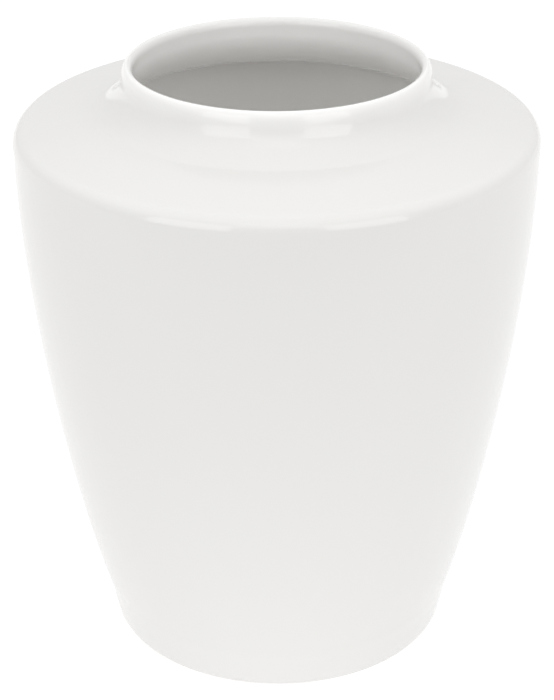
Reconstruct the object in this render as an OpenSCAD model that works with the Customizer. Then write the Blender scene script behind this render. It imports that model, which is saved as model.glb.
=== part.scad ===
// Wide-shouldered porcelain vase with a short, wide neck.
// One cast porcelain body and the three glaze coats fired onto it.
// Millimetres. +Z is up, along the vase's axis. The origin is the centre of
// the foot ring, on the surface that the vase stands on.

/* [Overall] */
// Height of the glazed vase
height = 240; // [180:1:320]
// Largest outer radius, just under the shoulder
body_r = 101; // [80:0.5:120]
// Wall thickness of the body, glaze included
wall_t = 4.9; // [3.8:0.1:5.2]
// Thickness of each glaze coat
glaze_t = 0.3; // [0.2:0.05:0.5]

/* [Foot] */
// Outer radius of the foot as a share of the largest radius
foot_share = 0.688; // [0.6:0.002:0.72]
// Radius of the foot's rounded outer edge
foot_round = 5.9; // [4:0.1:6.5]
// Outward lean of the foot's straight flare, in degrees
foot_flare = 12.2; // [8:0.1:14]
// Length of the straight flare
flare_l = 11.6; // [11:0.1:18]
// Radius of the soft bend between the flare and the belly
bend_r = 60; // [40:1:120]
// Width of the flat ground ring that touches the table
land_w = 3.5; // [2:0.1:6]
// Depth of the recess inside the foot ring
recess_depth = 4; // [3.6:0.1:5]
// Angle below the horizontal at which the outer glaze stops on the foot
glaze_line = 38; // [30:1:60]

/* [Belly] */
// Extra outward lean of the belly over the foot's flare, in degrees
belly_more = 4.4; // [1:0.1:6]
// Reach of the belly curve's lower handle, as a share of the belly's height
belly_low = 0.226; // [0.15:0.002:0.26]
// Reach of the belly curve's upper handle, as a share of the belly's height
belly_high = 0.326; // [0.25:0.002:0.45]

/* [Shoulder] */
// Drop from the lip to where the shoulder's edge starts to turn
shoulder_drop = 28.3; // [28:0.1:40]
// Outer radius of the shoulder's edge
edge_r = 5.6; // [5.2:0.1:6.5]
// Slope of the shoulder, in degrees
shoulder_slope = 10.6; // [6:0.1:12]

/* [Neck and lip] */
// Outer radius over the lip, as a share of the largest radius
neck_share = 0.583; // [0.54:0.001:0.62]
// Angle by which the neck widens downwards from the lip, in degrees
neck_lean = 6.2; // [0:0.1:12]
// Thickness of the lip outside its crest, and how far that round falls
lip_out = 2.2; // [1.8:0.05:2.5]
lip_out_fall = 4.3; // [3:0.1:5]
// Thickness of the lip inside its crest, and how far that round falls
lip_in = 2; // [1.6:0.05:2.2]
lip_in_fall = 3; // [2:0.1:4]
// How far the sweep between shoulder and neck reaches along the shoulder
sweep_out = 10.1; // [8:0.1:14]
// How far that sweep reaches up the neck
sweep_up = 9.8; // [6:0.1:10]
// Fullness of that sweep
sweep_pull = 0.47; // [0.4:0.01:0.65]

/* [Inside] */
// Thickness of the floor, glaze included
floor_t = 5.6; // [4:0.1:6.5]
// Radius of the bend between the floor and the wall
floor_round = 8; // [5:0.5:9]
// Radius of the bend under the shoulder's edge
inner_edge_r = 4; // [3:0.1:4.2]

/* [Hidden] */
$fn = 180;

// Steps along each curve: long curves, the neck's sweep, small rounds and the lip
long_steps = 14;
sweep_steps = 10;
round_steps = 4;
lip_steps = 5;

// Height of the straight wall between the belly and the shoulder's edge
wall_straight = 4;

// Rounded inner edge of the ground ring, and the bend round the recess
land_edge_r = 1;
recess_bend_r = 2.4;

// Angle at which the recess glaze ends on the bend round the recess
recess_glaze_end = 10;

bisque_white = "#f3f0ea";
glaze_white = "#ecebe8";
inner_glaze_white = "#e6e4e0";

// ---- curves ----

// Points on a circle about c, from angle a0 to angle a1
function arc(c, r, a0, a1, steps) =
    [for (i = [0:steps]) let (a = a0 + (a1 - a0) * i / steps) c + r * [cos(a), sin(a)]];

// Points on an oval about c with half widths a and b, from angle a0 to angle a1
function oval(c, a, b, a0, a1, steps) =
    [for (i = [0:steps]) let (t = a0 + (a1 - a0) * i / steps) c + [a * cos(t), b * sin(t)]];

// Point on a curve with two end points and two handles
function curve_point(p, s) =
    pow(1 - s, 3) * p[0] + 3 * s * pow(1 - s, 2) * p[1]
    + 3 * s * s * (1 - s) * p[2] + pow(s, 3) * p[3];

// Direction of that curve
function curve_way(p, s) =
    pow(1 - s, 2) * (p[1] - p[0]) + 2 * s * (1 - s) * (p[2] - p[1])
    + s * s * (p[3] - p[2]);

// Points beside that curve, d0 to its left at its start and d1 at its end
function beside(p, d0, d1, steps) =
    [for (i = [0:steps])
        let (s = i / steps, way = curve_way(p, s), d = d0 + (d1 - d0) * s)
        curve_point(p, s) + d * [-way[1], way[0]] / norm(way)];

function reverse(list) = [for (i = [len(list) - 1:-1:0]) list[i]];
function without_first(list) = [for (i = [1:len(list) - 1]) list[i]];
function without_last(list) = [for (i = [0:len(list) - 2]) list[i]];

// ---- guide points of the glazed outer surface, each [radius, height] ----

foot_r = body_r * foot_share;
foot_c = [foot_r - foot_round * cos(foot_flare), foot_round - glaze_t];
flare_low = foot_c + foot_round * [cos(foot_flare), -sin(foot_flare)];
flare_top = flare_low + flare_l * [sin(foot_flare), cos(foot_flare)];

belly_lean = foot_flare + belly_more;
bend_c = flare_top + bend_r * [cos(foot_flare), -sin(foot_flare)];
belly_start = bend_c - bend_r * [cos(belly_lean), -sin(belly_lean)];
shoulder_z = height - shoulder_drop;
belly_end = [body_r, shoulder_z - wall_straight];
belly_h = belly_end[1] - belly_start[1];
belly = [
    belly_start,
    belly_start + belly_low * belly_h * [sin(belly_lean), cos(belly_lean)],
    belly_end - [0, belly_high * belly_h],
    belly_end
];

// The shoulder's line runs in from the edge's round, the neck's line runs down
// from the lip's round, and a sweep fills the corner where they cross
edge_turn = 90 - shoulder_slope;
edge_c = [body_r - edge_r, shoulder_z];
edge_end = edge_c + edge_r * [cos(edge_turn), sin(edge_turn)];
shoulder_way = [-cos(shoulder_slope), sin(shoulder_slope)];
lip_x = body_r * neck_share - lip_out;
lip_out_c = [lip_x, height - lip_out_fall];
lip_in_c = [lip_x, height - lip_in_fall];
lip_out_end = atan(tan(neck_lean) * lip_out_fall / lip_out);
lip_in_end = atan(tan(neck_lean) * lip_in_fall / lip_in);
neck_top = lip_out_c + [lip_out * cos(lip_out_end), lip_out_fall * sin(lip_out_end)];
neck_way = [sin(neck_lean), -cos(neck_lean)];
neck_l = cross(edge_end - neck_top, shoulder_way) / cross(neck_way, shoulder_way);
corner = neck_top + neck_l * neck_way;
neck_in = lip_in_c - [lip_in * cos(lip_in_end), lip_in_fall * sin(lip_in_end)];
neck_t = cross(neck_way, neck_top - neck_in);
sweep_rise = min(sweep_up, neck_l - 2 - max(0, (neck_in - neck_top) * neck_way));
sweep = [
    corner - sweep_out * shoulder_way,
    corner - (1 - sweep_pull) * sweep_out * shoulder_way,
    corner - (1 - sweep_pull) * sweep_rise * neck_way,
    corner - sweep_rise * neck_way
];

// ---- guide points of the glazed inner surface ----

// The bend at the floor is no larger than fits under the foot's soft bend
floor_z = recess_depth - glaze_t + floor_t;
floor_room = (flare_top[1] - 1 - floor_z) / (1 - sin(foot_flare));
floor_bend_r = min(floor_round, floor_room);
floor_bend_z = floor_z + floor_bend_r;
floor_c = [
    flare_low[0] + (floor_bend_z - flare_low[1]) * tan(foot_flare)
        - (wall_t + floor_bend_r) / cos(foot_flare),
    floor_bend_z
];
inner_edge_in = inner_edge_r - (edge_r - wall_t);
inner_edge_c = edge_c - inner_edge_in * [1, (1 - sin(shoulder_slope)) / cos(shoulder_slope)];

// ---- surfaces, each at a depth d under the glaze's surface ----

// From the glaze line on the foot up to the crest of the lip
function outside(d) = concat(
    arc(foot_c, foot_round - d, -glaze_line, -foot_flare, round_steps),
    arc(bend_c, bend_r + d, 180 - foot_flare, 180 - belly_lean, round_steps),
    without_first(beside(belly, d, d, long_steps)),
    arc(edge_c, edge_r - d, 0, edge_turn, round_steps),
    beside(sweep, d, d, sweep_steps),
    oval(lip_out_c, lip_out - d, lip_out_fall - d, lip_out_end, 90, lip_steps)
);

// From the crest of the lip down the inside to the middle of the floor
function inside(d) = concat(
    oval(lip_in_c, lip_in - d, lip_in_fall - d, 90, 180 + lip_in_end, lip_steps),
    reverse(beside(sweep, wall_t - d, neck_t - d, sweep_steps)),
    arc(inner_edge_c, inner_edge_r + d, edge_turn, 0, round_steps),
    reverse(without_first(beside(belly, wall_t - d, wall_t - d, long_steps))),
    arc(bend_c, bend_r + wall_t - d, 180 - belly_lean, 180 - foot_flare, round_steps),
    arc(floor_c, floor_bend_r + d, -foot_flare, -90, round_steps),
    [[0, floor_z - d]]
);

// Bare underside of the foot ring, from the recess out to the glaze line
land_out_r = foot_c[0];
land_in_r = land_out_r - land_w;
recess_r = land_in_r - land_edge_r;
function ground_ring() = concat(
    arc([land_in_r, land_edge_r], land_edge_r, 180, 270, round_steps),
    without_last(arc(foot_c, foot_round - glaze_t, -90, -glaze_line, round_steps))
);

// Roof of the recess from the middle outwards, t below the bare porcelain
recess_bend_c = [recess_r - recess_bend_r, recess_depth - recess_bend_r];
function recess_roof(t) = concat(
    [[0, recess_depth - t]],
    arc(recess_bend_c, recess_bend_r - t, 90, recess_glaze_end, round_steps)
);

// ---- the pieces ----

// Cast porcelain body: wall, shoulder, neck, floor and bare foot ring
module porcelain_body() {
    color(bisque_white)
    rotate_extrude()
    polygon(concat(recess_roof(0), ground_ring(), outside(glaze_t),
                   without_first(inside(glaze_t))));
}

// Outer coat, from the bare foot ring to the crest of the lip
module outer_glaze() {
    color(glaze_white)
    rotate_extrude()
    polygon(concat(without_first(outside(0)), reverse(outside(glaze_t))));
}

// Inner coat, from the crest of the lip to the middle of the floor
module inner_glaze() {
    color(inner_glaze_white)
    rotate_extrude()
    polygon(concat(inside(0), reverse(inside(glaze_t))));
}

// Patch of glaze inside the foot ring
module base_glaze() {
    color(glaze_white)
    rotate_extrude()
    polygon(concat(without_last(recess_roof(glaze_t)), reverse(recess_roof(0))));
}

porcelain_body();
outer_glaze();
inner_glaze();
base_glaze();
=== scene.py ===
"""White glazed porcelain vase: its cast body and the three glaze coats fired onto it."""

import math

import bmesh
import bpy
from mathutils import Euler, Matrix, Vector, noise


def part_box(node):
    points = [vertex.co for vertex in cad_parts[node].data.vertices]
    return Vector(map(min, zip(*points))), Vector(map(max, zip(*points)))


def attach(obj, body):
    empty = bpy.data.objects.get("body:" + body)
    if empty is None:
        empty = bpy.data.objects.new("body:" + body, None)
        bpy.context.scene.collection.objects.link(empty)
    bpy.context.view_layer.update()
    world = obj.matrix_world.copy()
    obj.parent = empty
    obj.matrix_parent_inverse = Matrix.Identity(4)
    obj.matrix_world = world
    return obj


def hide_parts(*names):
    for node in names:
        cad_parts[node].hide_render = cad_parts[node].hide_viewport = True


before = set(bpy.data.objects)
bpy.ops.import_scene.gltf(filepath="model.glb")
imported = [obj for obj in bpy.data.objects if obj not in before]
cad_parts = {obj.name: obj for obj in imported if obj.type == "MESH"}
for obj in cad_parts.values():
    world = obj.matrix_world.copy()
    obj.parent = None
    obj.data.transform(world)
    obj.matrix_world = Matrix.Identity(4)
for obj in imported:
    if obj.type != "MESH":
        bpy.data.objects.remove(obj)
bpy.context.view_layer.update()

# ---------------------------------------------------------------- sizes
# The frame gives the overall sizes. The others are the design's own, in metres
# and degrees.

mm = 0.001

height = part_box("outer_glaze")[1].z
body_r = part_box("outer_glaze")[1].x
glaze_t = body_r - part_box("porcelain_body")[1].x
recess_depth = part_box("base_glaze")[1].z
floor_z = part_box("inner_glaze")[0].z + glaze_t
wall_t = 4.9 * mm

foot_r = 0.688 * body_r
foot_round = 5.9 * mm
foot_flare = 12.2
flare_l = 11.6 * mm
bend_r = 60 * mm
land_w = 3.5 * mm
land_edge_r = 1 * mm
recess_bend_r = 2.4 * mm
recess_glaze_end = 10
glaze_line = 38

belly_lean = foot_flare + 4.4
belly_low = 0.226
belly_high = 0.326

shoulder_z = height - 28.3 * mm
shoulder_slope = 10.6
wall_straight = 4 * mm
edge_r = 5.6 * mm

neck_r = 0.583 * body_r
neck_lean = 6.2
lip_out = 2.2 * mm
lip_out_fall = 4.3 * mm
lip_in = 2 * mm
lip_in_fall = 3 * mm
sweep_out = 10.1 * mm
sweep_up = 9.8 * mm
sweep_pull = 0.47

floor_round = 8 * mm
inner_edge_r = 4 * mm

# How fine the meshes are
SEGMENTS = 224
FACE_L = 2.6 * mm
RING_FACE_L = 0.8 * mm
ROUND_STEPS = 12
LIP_STEPS = 16
SWEEP_STEPS = 26
BEAD_STEPS = 8
LAST_TURN = 0.5
SHARP_ANGLE = 38

# The glaze's fired surface: height of its waves, and how it gathers and thins, which inside the
# vase sets painted light instead.
# Last, the painted light along the lip's crest, a painted highlight on the outer lip
WAVE = 0.045 * mm
RUN_BACK = 4 * mm
FULL_TURN = 0.9
LIP_PAINTED_LIGHT_SHARE = 0.75
LIP_FADE = 5 * mm

# ---------------------------------------------------------------- outlines
# Every outline point is (radius, height). Outlines run with the solid on
# their left, so up the outside and down the inside.


def towards(angle):
    """Unit vector, angle degrees above the outward direction."""
    a = math.radians(angle)
    return Vector((math.cos(a), math.sin(a)))


def arc(centre, radius, start, end, steps=ROUND_STEPS):
    """Points on a circle from one angle to another, in degrees."""
    turn = (end - start) / steps
    return [centre + radius * towards(start + turn * i) for i in range(steps + 1)]


def oval_point(centre, half_w, half_h, angle):
    """Point on an oval, at an angle in degrees."""
    a = math.radians(angle)
    return centre + Vector((half_w * math.cos(a), half_h * math.sin(a)))


def oval(centre, half_w, half_h, start, end, steps):
    """Points on an oval from one angle to another, in degrees."""
    turn = (end - start) / steps
    return [oval_point(centre, half_w, half_h, start + turn * i) for i in range(steps + 1)]


def beside(handles, d0, d1, steps):
    """Points beside a curve with four handles, d0 to its left at its start and d1 at its end."""
    p0, p1, p2, p3 = handles
    points = []
    for i in range(steps + 1):
        s = i / steps
        t = 1 - s
        at = t**3 * p0 + 3 * s * t**2 * p1 + 3 * s**2 * t * p2 + s**3 * p3
        way = t**2 * (p1 - p0) + 2 * s * t * (p2 - p1) + s**2 * (p3 - p2)
        left = Vector((-way.y, way.x)).normalized()
        points.append(at + (d0 + (d1 - d0) * s) * left)
    return points


def filled(points, face_l=FACE_L):
    """The same line, with more points where two of its own lie far apart, and no doubled ones."""
    out = [points[0]]
    for p in points[1:]:
        gap = (p - out[-1]).length
        if gap < 0.01 * mm:
            continue
        parts = max(1, math.ceil(gap / face_l))
        start = out[-1]
        out += [start.lerp(p, (i + 1) / parts) for i in range(parts)]
    return out


# Guide points of the glazed outer surface
foot_c = Vector((foot_r - foot_round * math.cos(math.radians(foot_flare)), foot_round - glaze_t))
flare_low = foot_c + foot_round * towards(-foot_flare)
flare_top = flare_low + flare_l * towards(90 - foot_flare)
bend_c = flare_top + bend_r * towards(-foot_flare)
belly_start = bend_c - bend_r * towards(-belly_lean)
belly_end = Vector((body_r, shoulder_z - wall_straight))
belly_h = belly_end.y - belly_start.y
belly = [
    belly_start,
    belly_start + belly_low * belly_h * towards(90 - belly_lean),
    belly_end - Vector((0, belly_high * belly_h)),
    belly_end,
]
BELLY_STEPS = math.ceil(belly_h / FACE_L)

# The shoulder's line runs in from the edge's round, the neck's line runs down
# from the lip's round, and a sweep fills the corner where they cross
edge_turn = 90 - shoulder_slope
edge_c = Vector((body_r - edge_r, shoulder_z))
edge_end = edge_c + edge_r * towards(edge_turn)
shoulder_way = towards(180 - shoulder_slope)
neck_tan = math.tan(math.radians(neck_lean))
lip_x = neck_r - lip_out
lip_out_c = Vector((lip_x, height - lip_out_fall))
lip_in_c = Vector((lip_x, height - lip_in_fall))
lip_out_end = math.degrees(math.atan(neck_tan * lip_out_fall / lip_out))
lip_in_end = math.degrees(math.atan(neck_tan * lip_in_fall / lip_in))
neck_top = oval_point(lip_out_c, lip_out, lip_out_fall, lip_out_end)
neck_in = oval_point(lip_in_c, lip_in, lip_in_fall, 180 + lip_in_end)
neck_way = towards(neck_lean - 90)
neck_t = neck_way.cross(neck_top - neck_in)
neck_l = (edge_end - neck_top).cross(shoulder_way) / neck_way.cross(shoulder_way)
corner = neck_top + neck_l * neck_way
sweep_low = corner - sweep_out * shoulder_way
sweep_top = corner - sweep_up * neck_way
sweep = [
    sweep_low,
    sweep_low.lerp(corner, sweep_pull),
    sweep_top.lerp(corner, sweep_pull),
    sweep_top,
]
crest = Vector((lip_x, height))

# Guide points of the glazed inner surface
floor_room = (flare_top.y - 1 * mm - floor_z) / (1 - math.sin(math.radians(foot_flare)))
floor_bend_r = min(floor_round, floor_room)
floor_bend_z = floor_z + floor_bend_r
floor_c = Vector((
    flare_low.x
    + (floor_bend_z - flare_low.y) * math.tan(math.radians(foot_flare))
    - (wall_t + floor_bend_r) / math.cos(math.radians(foot_flare)),
    floor_bend_z,
))
inner_edge_in = inner_edge_r - (edge_r - wall_t)
inner_edge_drop = math.tan(math.radians(edge_turn / 2))
inner_edge_c = edge_c - inner_edge_in * Vector((1, inner_edge_drop))

# Ends of the glaze: half-round beads as thick as the coat
bead_r = glaze_t / 2
bead_turn = math.degrees(math.asin(bead_r / (foot_round - bead_r)))
bead_angle = bead_turn - glaze_line
recess_r = foot_c.x - land_w - land_edge_r
recess_bend_c = Vector((recess_r - recess_bend_r, recess_depth - recess_bend_r))
recess_bead_turn = math.degrees(math.asin(bead_r / (recess_bend_r - bead_r)))
recess_bead_angle = recess_glaze_end + recess_bead_turn


def outside(d, foot_angle):
    """Surface at depth d, from an angle on the foot's round up to the crest of the lip."""
    return filled(
        arc(foot_c, foot_round - d, foot_angle, -foot_flare)
        + arc(bend_c, bend_r + d, 180 - foot_flare, 180 - belly_lean)
        + beside(belly, d, d, BELLY_STEPS)
        + arc(edge_c, edge_r - d, 0, edge_turn)
        + beside(sweep, d, d, SWEEP_STEPS)
        + oval(lip_out_c, lip_out - d, lip_out_fall - d, lip_out_end, 90 - LAST_TURN, LIP_STEPS)
        + [crest - Vector((0, d))]
    )


def inside(d):
    """Surface at depth d, from the crest of the lip down the inside to the middle of the floor."""
    return filled(
        [crest - Vector((0, d))]
        + oval(lip_in_c, lip_in - d, lip_in_fall - d, 90 + LAST_TURN, 180 + lip_in_end, LIP_STEPS)
        + beside(sweep, wall_t - d, neck_t - d, SWEEP_STEPS)[::-1]
        + arc(inner_edge_c, inner_edge_r + d, edge_turn, 0)
        + beside(belly, wall_t - d, wall_t - d, BELLY_STEPS)[::-1]
        + arc(bend_c, bend_r + wall_t - d, 180 - belly_lean, 180 - foot_flare)
        + arc(floor_c, floor_bend_r + d, -foot_flare, -90)
        + [Vector((0, floor_z - d))]
    )


def ground_ring():
    """Bare underside of the foot ring, from the recess out to the glaze line."""
    land_in = Vector((recess_r + land_edge_r, land_edge_r))
    return filled(
        arc(land_in, land_edge_r, 180, 270)
        + arc(foot_c, foot_round - glaze_t, -90, -glaze_line),
        RING_FACE_L,
    )


def recess_roof(t, end_angle):
    """Roof of the recess from the middle outwards, t below the bare porcelain."""
    return filled(
        [Vector((0, recess_depth - t))]
        + arc(recess_bend_c, recess_bend_r - t, 90, end_angle)
    )


# ---------------------------------------------------------------- meshes


def outward(points):
    """Unit normal of the line at each point, away from the solid."""
    normals = []
    for i in range(len(points)):
        way = points[min(i + 1, len(points) - 1)] - points[max(i - 1, 0)]
        normals.append(Vector((way.y, -way.x)).normalized())
    return normals


def hollowness(points):
    """How deep in a hollow each point lies, from 0 on a sharp edge to 1 in a hollow: outside, how
    thick the fired glaze lies; inside, how much painted light the glaze gets.
    """
    out = []
    for i, p in enumerate(points):
        a, b = i, i
        while a > 0 and (points[a] - p).length < RUN_BACK:
            a -= 1
        while b < len(points) - 1 and (points[b] - p).length < RUN_BACK:
            b += 1
        before, after = p - points[a], points[b] - p
        if before.length * after.length == 0:
            out.append(out[-1] if out else 0.5)
            continue
        turn = math.atan2(before.x * after.y - before.y * after.x, before.dot(after))
        out.append(min(1, max(0, 0.5 - 0.5 * turn / FULL_TURN)))
    return out


def ripple(place):
    """Height of the fired surface's faint waves at a place, from about -1 to 1."""
    broad = noise.noise(place / (46 * mm))
    small = noise.noise(place / (17 * mm) + Vector((5, 9, 2)))
    return 0.75 * broad + 0.25 * small


def lathe(name, shown, hidden, wave=0.0, lip=0.0):
    """Closed solid of revolution, with waves up to wave high on its shown side only.

    Lip is how much painted lip light its crest gets, fading away from the crest.
    """
    thick = hollowness(shown) + [0.5] * len(hidden)
    normals = outward(shown) + [Vector((0, 0))] * len(hidden)
    directions = [
        Vector((math.cos(math.tau * k / SEGMENTS), math.sin(math.tau * k / SEGMENTS), 0))
        for k in range(SEGMENTS)
    ]
    up = Vector((0, 0, 1))
    form = bmesh.new()
    pooling_and_painted_light = form.verts.layers.float.new("pooling_and_painted_light")
    lip_painted_light = form.verts.layers.float.new("lip_painted_light")
    rings = []
    for p, n, hollow_share in zip(shown + hidden, normals, thick):
        on_axis = p.x < 1e-9
        ring = []
        for out in directions[:1] if on_axis else directions:
            place = p.x * out + p.y * up
            place += wave * ripple(place) * (n.x * out + n.y * up)
            vertex = form.verts.new(place)
            vertex[pooling_and_painted_light] = hollow_share
            vertex[lip_painted_light] = lip * math.exp((crest - p).length / -LIP_FADE)
            ring.append(vertex)
        rings.append(ring)
    for low, high in zip(rings, rings[1:] + rings[:1]):
        if len(low) == len(high) == 1:
            continue
        for k in range(SEGMENTS):
            after = (k + 1) % SEGMENTS
            corners = [low[k % len(low)], low[after % len(low)]]
            corners += [high[after % len(high)], high[k % len(high)]]
            form.faces.new(list(dict.fromkeys(corners)))
    mesh = bpy.data.meshes.new(name)
    form.to_mesh(mesh)
    form.free()
    mesh.shade_smooth()
    mesh.set_sharp_from_angle(angle=math.radians(SHARP_ANGLE))
    piece = bpy.data.objects.new(name, mesh)
    bpy.context.scene.collection.objects.link(piece)
    return piece


# ---------------------------------------------------------------- materials

WHITE = (0.752, 0.744, 0.732, 1)
MILK = (0.744, 0.738, 0.729, 1)
CREAM = (0.747, 0.737, 0.72, 1)
# The lip's white is a painted highlight along the crest of the outer lip.
LIP_PAINTED_HIGHLIGHT = (0.955, 0.953, 0.945, 1)
# The inside's three tones are painted light: the same glaze painted far lighter than outside,
# lightest in its hollows.
INNER_PAINTED_LIGHT_EDGE = (0.915, 0.91, 0.9, 1)
INNER_PAINTED_LIGHT_HOLLOW = (0.961, 0.958, 0.952, 1)
INNER_PAINTED_LIGHT_DRIFT = (0.936, 0.929, 0.915, 1)
SPECK = (0.42, 0.39, 0.35, 1)
BARE = (0.84, 0.82, 0.78, 1)
BARE_DARKER = (0.76, 0.72, 0.66, 1)
GRIT = (0.45, 0.41, 0.36, 1)
GLAZE_IOR = 1.52
BARE_IOR = 1.5
SPECK_R = 0.16 * mm
GRIT_R = 0.14 * mm
PEEL_H = 0.0016 * mm
GRAIN_H = 0.03 * mm


def add_node(tree, kind, inputs=None, **settings):
    """A node with its settings, and a value or a link in each input that is named."""
    made = tree.nodes.new(kind)
    for key, value in settings.items():
        setattr(made, key, value)
    for key, value in (inputs or {}).items():
        if isinstance(value, bpy.types.NodeSocket):
            tree.links.new(value, made.inputs[key])
        else:
            made.inputs[key].default_value = value
    return made


def blank_material(name):
    """A new material's node tree, with its output node."""
    material = bpy.data.materials.new(name)
    material.use_nodes = True
    material.node_tree.nodes.clear()
    output = add_node(material.node_tree, "ShaderNodeOutputMaterial")
    return material, material.node_tree, output


def mixed(tree, factor, a, b):
    """Colour a, or b where factor is 1."""
    node = add_node(tree, "ShaderNodeMix", {0: factor, 6: a, 7: b}, data_type="RGBA")
    return node.outputs[2]


def stretched(tree, value, from_low, from_high, to_low, to_high, kind="LINEAR"):
    """A value's range mapped onto another, and held at its ends."""
    limits = {
        "Value": value,
        "From Min": from_low,
        "From Max": from_high,
        "To Min": to_low,
        "To Max": to_high,
    }
    node = add_node(tree, "ShaderNodeMapRange", limits, interpolation_type=kind)
    return node.outputs["Result"]


def cloud(tree, place, per_metre, detail=2.0):
    """Soft random field with that many blots to a metre."""
    inputs = {"Vector": place, "Scale": per_metre, "Detail": detail}
    return add_node(tree, "ShaderNodeTexNoise", inputs).outputs["Fac"]


def specks(tree, place, per_metre, speck_r, share):
    """1 inside sparse round specks of that radius, 0 elsewhere."""
    inputs = {"Vector": place, "Scale": per_metre, "Randomness": 1.0}
    cells = add_node(tree, "ShaderNodeTexVoronoi", inputs)
    edge = speck_r * per_metre
    dot = stretched(tree, cells.outputs["Distance"], 0.6 * edge, edge, 1, 0)
    pick = add_node(tree, "ShaderNodeSeparateColor", {"Color": cells.outputs["Color"]})
    kept = add_node(
        tree, "ShaderNodeMath", {0: pick.outputs["Red"], 1: share}, operation="LESS_THAN"
    )
    both = add_node(
        tree, "ShaderNodeMath", {0: dot, 1: kept.outputs["Value"]}, operation="MULTIPLY"
    )
    return both.outputs["Value"]


def glaze(name, thin, thick, drift, lip, speck_share):
    """Clear glossy glaze over white porcelain.

    Thin and thick are its tones on sharp edges and in hollows; inside the vase they are painted
    light, lighter than outside and lightest in hollows. Drift comes and goes in soft blots, and
    lip is the tone painted at the lip's crest: a painted highlight outside, the outer glaze's tone
    inside.
    """
    material, tree, output = blank_material(name)
    place = add_node(tree, "ShaderNodeTexCoord").outputs["Object"]
    # Inside the vase this mix is painted light, lightest in hollows.
    pooling_and_painted_light = add_node(tree, "ShaderNodeAttribute", attribute_name="pooling_and_painted_light").outputs["Fac"]
    colour = mixed(tree, pooling_and_painted_light, thin, thick)
    blots = stretched(tree, cloud(tree, place, 14, 3), 0.35, 0.65, 0, 0.6)
    colour = mixed(tree, blots, colour, drift)
    # Painted light at the lip's crest: a painted highlight outside, and inside the outer glaze's
    # tone fading out the painted light.
    lip_light_mask = add_node(tree, "ShaderNodeAttribute", attribute_name="lip_painted_light").outputs["Fac"]
    colour = mixed(tree, lip_light_mask, colour, lip)
    dots = specks(tree, place, 90, SPECK_R, speck_share)
    colour = mixed(tree, dots, colour, SPECK)
    gloss = stretched(tree, cloud(tree, place, 60, 4), 0.3, 0.7, 0.035, 0.06)
    peel = cloud(tree, place, 420, 1)
    bump = add_node(
        tree, "ShaderNodeBump", {"Height": peel, "Strength": 1.0, "Distance": PEEL_H}
    )
    surface = add_node(tree, "ShaderNodeBsdfPrincipled", {
        "Base Color": colour,
        "Roughness": gloss,
        "IOR": GLAZE_IOR,
        "Normal": bump.outputs["Normal"],
    })
    tree.links.new(surface.outputs["BSDF"], output.inputs["Surface"])
    return material


def bisque(name):
    """Bare fired porcelain, ground flat and slightly gritty."""
    material, tree, output = blank_material(name)
    place = add_node(tree, "ShaderNodeTexCoord").outputs["Object"]
    blots = stretched(tree, cloud(tree, place, 55, 4), 0.35, 0.7, 0, 1)
    colour = mixed(tree, blots, BARE, BARE_DARKER)
    grit = specks(tree, place, 700, GRIT_R, 0.12)
    colour = mixed(tree, grit, colour, GRIT)
    grain = cloud(tree, place, 2600, 3)
    bump = add_node(
        tree, "ShaderNodeBump", {"Height": grain, "Strength": 1.0, "Distance": GRAIN_H}
    )
    dull = stretched(tree, cloud(tree, place, 240, 2), 0.3, 0.7, 0.62, 0.85)
    surface = add_node(tree, "ShaderNodeBsdfPrincipled", {
        "Base Color": colour,
        "Roughness": dull,
        "IOR": BARE_IOR,
        "Normal": bump.outputs["Normal"],
    })
    tree.links.new(surface.outputs["BSDF"], output.inputs["Surface"])
    return material


# ---------------------------------------------------------------- pieces

coat_bead_c = foot_c + (foot_round - bead_r) * towards(bead_angle)
coat_bead = arc(coat_bead_c, bead_r, bead_angle - 180, bead_angle, BEAD_STEPS)[1:-1]
# The outer coat's lip crest carries a painted highlight.
outer = lathe(
    "glaze_coat_outside",
    outside(0, bead_angle),
    outside(glaze_t, bead_angle)[::-1] + coat_bead,
    WAVE,
    LIP_PAINTED_LIGHT_SHARE,
)
outer.data.materials.append(glaze("outer_glaze_gloss", WHITE, MILK, CREAM, LIP_PAINTED_HIGHLIGHT, 0.05))
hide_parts("outer_glaze")
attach(outer, "root")

# The inside coat is painted light: a much lighter copy of the outside glaze, lightest in its
# hollows and fading back to the outside's white at the lip's crest.
inner = lathe("glaze_coat_inside", inside(0), inside(glaze_t)[::-1], WAVE, LIP_PAINTED_LIGHT_SHARE)
inner.data.materials.append(
    glaze("inner_glaze_gloss", INNER_PAINTED_LIGHT_EDGE, INNER_PAINTED_LIGHT_HOLLOW, INNER_PAINTED_LIGHT_DRIFT, WHITE, 0.05)
)
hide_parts("inner_glaze")
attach(inner, "root")

patch_turn = recess_bead_angle - 180
patch_bead_c = recess_bend_c + (recess_bend_r - bead_r) * towards(recess_bead_angle)
patch_bead = arc(patch_bead_c, bead_r, patch_turn, recess_bead_angle, BEAD_STEPS)[1:-1]
base = lathe(
    "glaze_patch_under_floor",
    recess_roof(glaze_t, recess_bead_angle),
    patch_bead + recess_roof(0, recess_bead_angle)[::-1],
    WAVE,
)
base.data.materials.append(glaze("base_glaze_gloss", WHITE, MILK, CREAM, WHITE, 0.12))
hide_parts("base_glaze")
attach(base, "root")

body = lathe(
    "porcelain_casting",
    recess_roof(0, 0) + ground_ring() + outside(glaze_t, -glaze_line)[1:],
    inside(glaze_t)[1:],
)
body.data.materials.append(bisque("bare_porcelain_bisque"))
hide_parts("porcelain_body")
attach(body, "root")

# ---------------------------------------------------------------- studio
# Metres and degrees. Radiance 1 shows as white.

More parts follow.
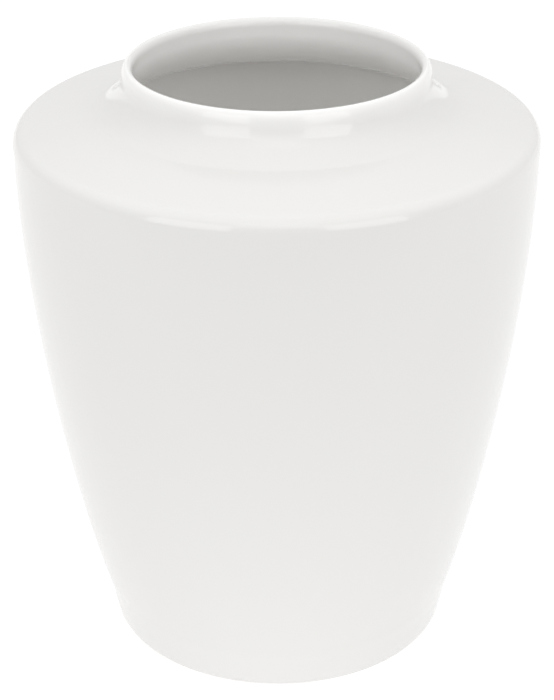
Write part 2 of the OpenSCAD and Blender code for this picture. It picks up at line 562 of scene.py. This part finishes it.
FLOOR_REACH = 6
FLOOR_GREY = (0.3, 0.3, 0.3, 1)
GLOW_NEAR, GLOW_FAR = 0.76, 0.2
GLOW_NEAR_Y, GLOW_FAR_Y = -0.1, -0.6
BOX_AWAY = 1.7
BOX_TURN = 36
BOX_WIDTH = 1.05
BOX_LOW, BOX_HIGH = 0.02, 1.2
BOX_RADIANCE = 1.2
OVER_WIDTH = 1.1
OVER_LOW, OVER_HIGH = 0.75, 2.4
OVER_RADIANCE = 0.3
WORLD_FRONT, WORLD_BACK, WORLD_ABOVE = 0.47, 0.82, 1.2
CAMERA_DOWN = 26.58
CAMERA_LEAN = -0.22
CAMERA_AT = Vector((-0.003, -7.0, 4.667)) * body_r
LENS = 100
SENSOR = 36


def plain_floor():
    """Pale floor, wide enough to fill every view. It glows, painted light that keeps it white
    where the vase would shade it and lights the vase from below. Its glow falls off towards the
    camera.
    """
    form = bmesh.new()
    bmesh.ops.create_grid(form, x_segments=8, y_segments=8, size=FLOOR_REACH)
    mesh = bpy.data.meshes.new("floor")
    form.to_mesh(mesh)
    form.free()
    floor = bpy.data.objects.new("floor", mesh)
    bpy.context.scene.collection.objects.link(floor)
    material, tree, output = blank_material("floor_white")
    place = add_node(tree, "ShaderNodeTexCoord").outputs["Object"]
    parts = add_node(tree, "ShaderNodeSeparateXYZ", {"Vector": place})
    along = parts.outputs["Y"]
    # Painted light: the floor's glow, dimming towards the camera.
    lit = stretched(tree, along, GLOW_FAR_Y, GLOW_NEAR_Y, GLOW_FAR, GLOW_NEAR, "SMOOTHSTEP")
    surface = add_node(tree, "ShaderNodeBsdfPrincipled", {
        "Base Color": FLOOR_GREY,
        "Roughness": 1.0,
        "Specular IOR Level": 0.0,
        "Emission Color": (1, 1, 1, 1),
        "Emission Strength": lit,
    })
    tree.links.new(surface.outputs["BSDF"], output.inputs["Surface"])
    mesh.materials.append(material)


def softbox(name, turn, width, low, high, radiance):
    """Upright area light that the camera doesn't see, turned about the vase from the front."""
    lamp = bpy.data.lights.new(name, "AREA")
    lamp.shape = "RECTANGLE"
    lamp.size = width
    lamp.size_y = high - low
    lamp.energy = 4 * radiance * lamp.size * lamp.size_y
    holder = bpy.data.objects.new(name, lamp)
    side = math.radians(turn)
    from_front = (math.sin(side) * BOX_AWAY, -math.cos(side) * BOX_AWAY)
    holder.location = (*from_front, (low + high) / 2)
    holder.rotation_euler = Euler((math.radians(90), 0, side))
    holder.visible_camera = False
    bpy.context.scene.collection.objects.link(holder)


def soft_world(front, back, above):
    """Soft white light from all round, of one strength in front, behind and above."""
    world = bpy.data.worlds.new("studio")
    world.use_nodes = True
    tree = world.node_tree
    way = add_node(tree, "ShaderNodeTexCoord").outputs["Generated"]
    parts = add_node(tree, "ShaderNodeSeparateXYZ", {"Vector": way})
    level = stretched(tree, parts.outputs["Y"], -0.6, 0.4, front, back)
    rise = stretched(tree, parts.outputs["Z"], 0.35, 0.75, 0, 1)
    strength = add_node(tree, "ShaderNodeMix", {0: rise, 2: level, 3: above}).outputs[0]
    tree.links.new(strength, tree.nodes["Background"].inputs["Strength"])
    tree.nodes["Background"].inputs["Color"].default_value = (1, 1, 1, 1)
    bpy.context.scene.world = world


def camera():
    """Long lens, looking down at the vase from in front and leaning a hair to one side."""
    tilt = Euler((math.radians(90 - CAMERA_DOWN), 0, 0)).to_matrix()
    lean = Matrix.Rotation(math.radians(CAMERA_LEAN), 3, "Z")
    lens = bpy.data.cameras.new("camera")
    lens.lens = LENS
    lens.sensor_width = SENSOR
    holder = bpy.data.objects.new("camera", lens)
    holder.location = CAMERA_AT
    holder.rotation_euler = (tilt @ lean).to_euler()
    bpy.context.scene.collection.objects.link(holder)
    bpy.context.scene.camera = holder


plain_floor()
softbox("softbox_left", -BOX_TURN, BOX_WIDTH, BOX_LOW, BOX_HIGH, BOX_RADIANCE)
softbox("softbox_right", BOX_TURN, BOX_WIDTH, BOX_LOW, BOX_HIGH, BOX_RADIANCE)
softbox("softbox_over_camera", 0, OVER_WIDTH, OVER_LOW, OVER_HIGH, OVER_RADIANCE)
soft_world(WORLD_FRONT, WORLD_BACK, WORLD_ABOVE)
camera()
scene = bpy.context.scene
scene.view_settings.view_transform = "Standard"
scene.cycles.diffuse_bounces = 10
scene.cycles.max_bounces = 14
